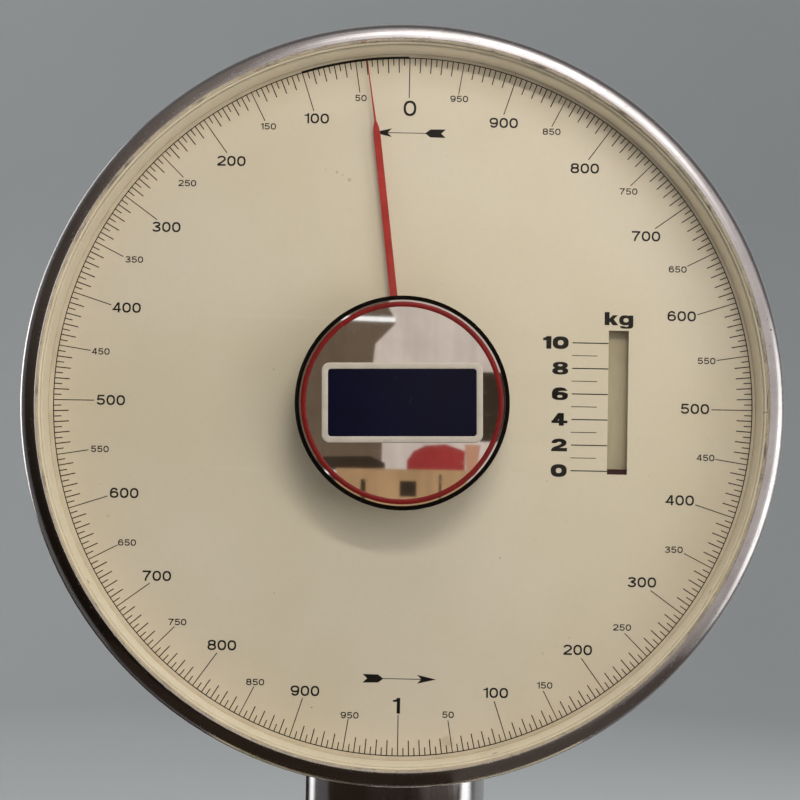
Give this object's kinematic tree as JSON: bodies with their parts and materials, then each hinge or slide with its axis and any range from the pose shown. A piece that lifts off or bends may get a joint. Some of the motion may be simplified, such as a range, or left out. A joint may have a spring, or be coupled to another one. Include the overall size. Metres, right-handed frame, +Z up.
{
  "type": "dial scale",
  "caption": "Counter dial scale: a large round double-faced dial head on a polished neck, with a goods plate on a low levelling base and a kilogram window beside the pointer.",
  "frame": {"origin": "on the counter, under the middle of the base, level with the undersides of the feet", "axes": "+Z up; the dial that the picture shows faces -Y, with the goods plate in front of it; +X is to the right of a person reading that dial"},
  "size_m": [0.3864, 0.35, 0.6232],
  "materials": {
    "cream_enamel": "semi-gloss baked cream enamel",
    "cream_dial": "satin cream dial face with dark printed scale",
    "cream_seal": "matt cream glazing bead",
    "grey_paint": "grey primer",
    "zinc_steel": "bright plated steel",
    "spring_steel": "bright spring wire",
    "stainless": "fine brushed stainless steel",
    "polished_metal": "polished with fine scratches",
    "mirror": "polished mirror",
    "brass": "satin brass",
    "light_alloy": "milled",
    "glass": "clear flat glass",
    "badge_enamel": "navy enamel with a cream border",
    "red_paint": "red lacquer",
    "white_plastic": "natural",
    "black_rubber": "moulded",
    "black_plastic": "moulded knob",
    "foot": "rubber pad under a plated screw"
  },
  "bodies": {
    "case": {"base_cover": "cream_enamel", "base_plate": "grey_paint", "base_screws": "zinc_steel", "fulcrum_bracket": "grey_paint", "neck": "polished_metal", "neck_collar": "polished_metal", "dashpot_cylinder": "brass", "head_bolts": "zinc_steel", "movement_cradle": "grey_paint", "head_drum": "cream_enamel", "front_bezel": "polished_metal", "rear_bezel": "polished_metal", "bezel_screws": "zinc_steel", "front_glass": "glass", "rear_glass": "glass", "front_seal": "cream_seal", "rear_seal": "cream_seal", "front_surround": "cream_enamel", "rear_surround": "cream_enamel", "front_dial": "cream_dial", "rear_dial": "cream_dial", "flag_channels": "cream_enamel", "front_hub_disc": "mirror", "rear_hub_disc": "mirror", "front_badge": "badge_enamel", "rear_badge": "badge_enamel", "front_movement_plate": "brass", "rear_movement_plate": "brass", "movement_pillars": "zinc_steel", "plate_screws": "zinc_steel", "arbor_bushes": "brass", "rack_guides": "white_plastic", "spring_hanger": "grey_paint", "springs": "spring_steel", "flag_guide_rod": "zinc_steel", "post_collar": "polished_metal", "level_vial": "polished_metal"},
    "pointer_arbor": {"arbor": "zinc_steel", "front_pointer": "red_paint", "rear_pointer": "red_paint"},
    "rack_train": {"main_rack": "brass", "spring_yoke": "grey_paint", "draw_rod": "zinc_steel", "damper_piston": "zinc_steel"},
    "flag_train": {"flag_carriage": "light_alloy", "kg_flags": "red_paint"},
    "main_lever": {"lever": "grey_paint", "lever_pins": "zinc_steel"},
    "check_stay": {"stay_link": "grey_paint"},
    "platform": {"platform_spider": "grey_paint", "plate_pads": "black_rubber", "goods_plate": "stainless"},
    "zero_setter": {"zero_knob": "black_plastic"},
    "foot_fl": {"foot_front_left": "foot"},
    "foot_fr": {"foot_front_right": "foot"},
    "foot_rl": {"foot_rear_left": "foot"},
    "foot_rr": {"foot_rear_right": "foot"}
  },
  "joints": [
    {"name": "pointer_turn", "type": "hinge", "parent": "case", "child": "pointer_arbor", "pos_m": [0, 0.11, 0.43], "axis": [0, -1, 0], "range_deg": [0, 1800]},
    {"name": "rack_slide", "type": "slide", "parent": "case", "child": "rack_train", "axis": [0, 0, -1], "range_m": [0, 0.066], "deforming": ["springs"]},
    {"name": "flag_slide", "type": "slide", "parent": "case", "child": "flag_train", "axis": [0, 0, 1], "range_m": [0, 0.066]},
    {"name": "lever_swing", "type": "hinge", "parent": "case", "child": "main_lever", "pos_m": [0, -0.107, 0.078], "axis": [-1, 0, 0], "range_deg": [0, 17.5]},
    {"name": "stay_swing", "type": "hinge", "parent": "case", "child": "check_stay", "pos_m": [0, -0.107, 0.038], "axis": [-1, 0, 0], "range_deg": [0, 17.5]},
    {"name": "platform_slide", "type": "slide", "parent": "case", "child": "platform", "axis": [0, 0, -1], "range_m": [0, 0.01368], "stiffness_N_per_m": 7168, "springref_m": -0.005},
    {"name": "zero_knob_turn", "type": "hinge", "parent": "case", "child": "zero_setter", "pos_m": [0.175, 0.04, 0.075], "axis": [1, 0, 0], "range_deg": [-720, 720]},
    {"name": "foot_fl_screw", "type": "slide", "parent": "case", "child": "foot_fl", "axis": [0, 0, -1], "range_m": [-0.006, 0.01]},
    {"name": "foot_fr_screw", "type": "slide", "parent": "case", "child": "foot_fr", "axis": [0, 0, -1], "range_m": [-0.006, 0.01]},
    {"name": "foot_rl_screw", "type": "slide", "parent": "case", "child": "foot_rl", "axis": [0, 0, -1], "range_m": [-0.006, 0.01]},
    {"name": "foot_rr_screw", "type": "slide", "parent": "case", "child": "foot_rr", "axis": [0, 0, -1], "range_m": [-0.006, 0.01]}
  ],
  "couplings": [
    {"joint": "pointer_turn", "follows": "platform_slide", "rad_per_m": 2296.3},
    {"joint": "rack_slide", "follows": "platform_slide", "ratio": 4.8222},
    {"joint": "flag_slide", "follows": "platform_slide", "ratio": 4.8222},
    {"joint": "lever_swing", "follows": "platform_slide", "rad_per_m": 22.309},
    {"joint": "stay_swing", "follows": "platform_slide", "rad_per_m": 22.309}
  ]
}
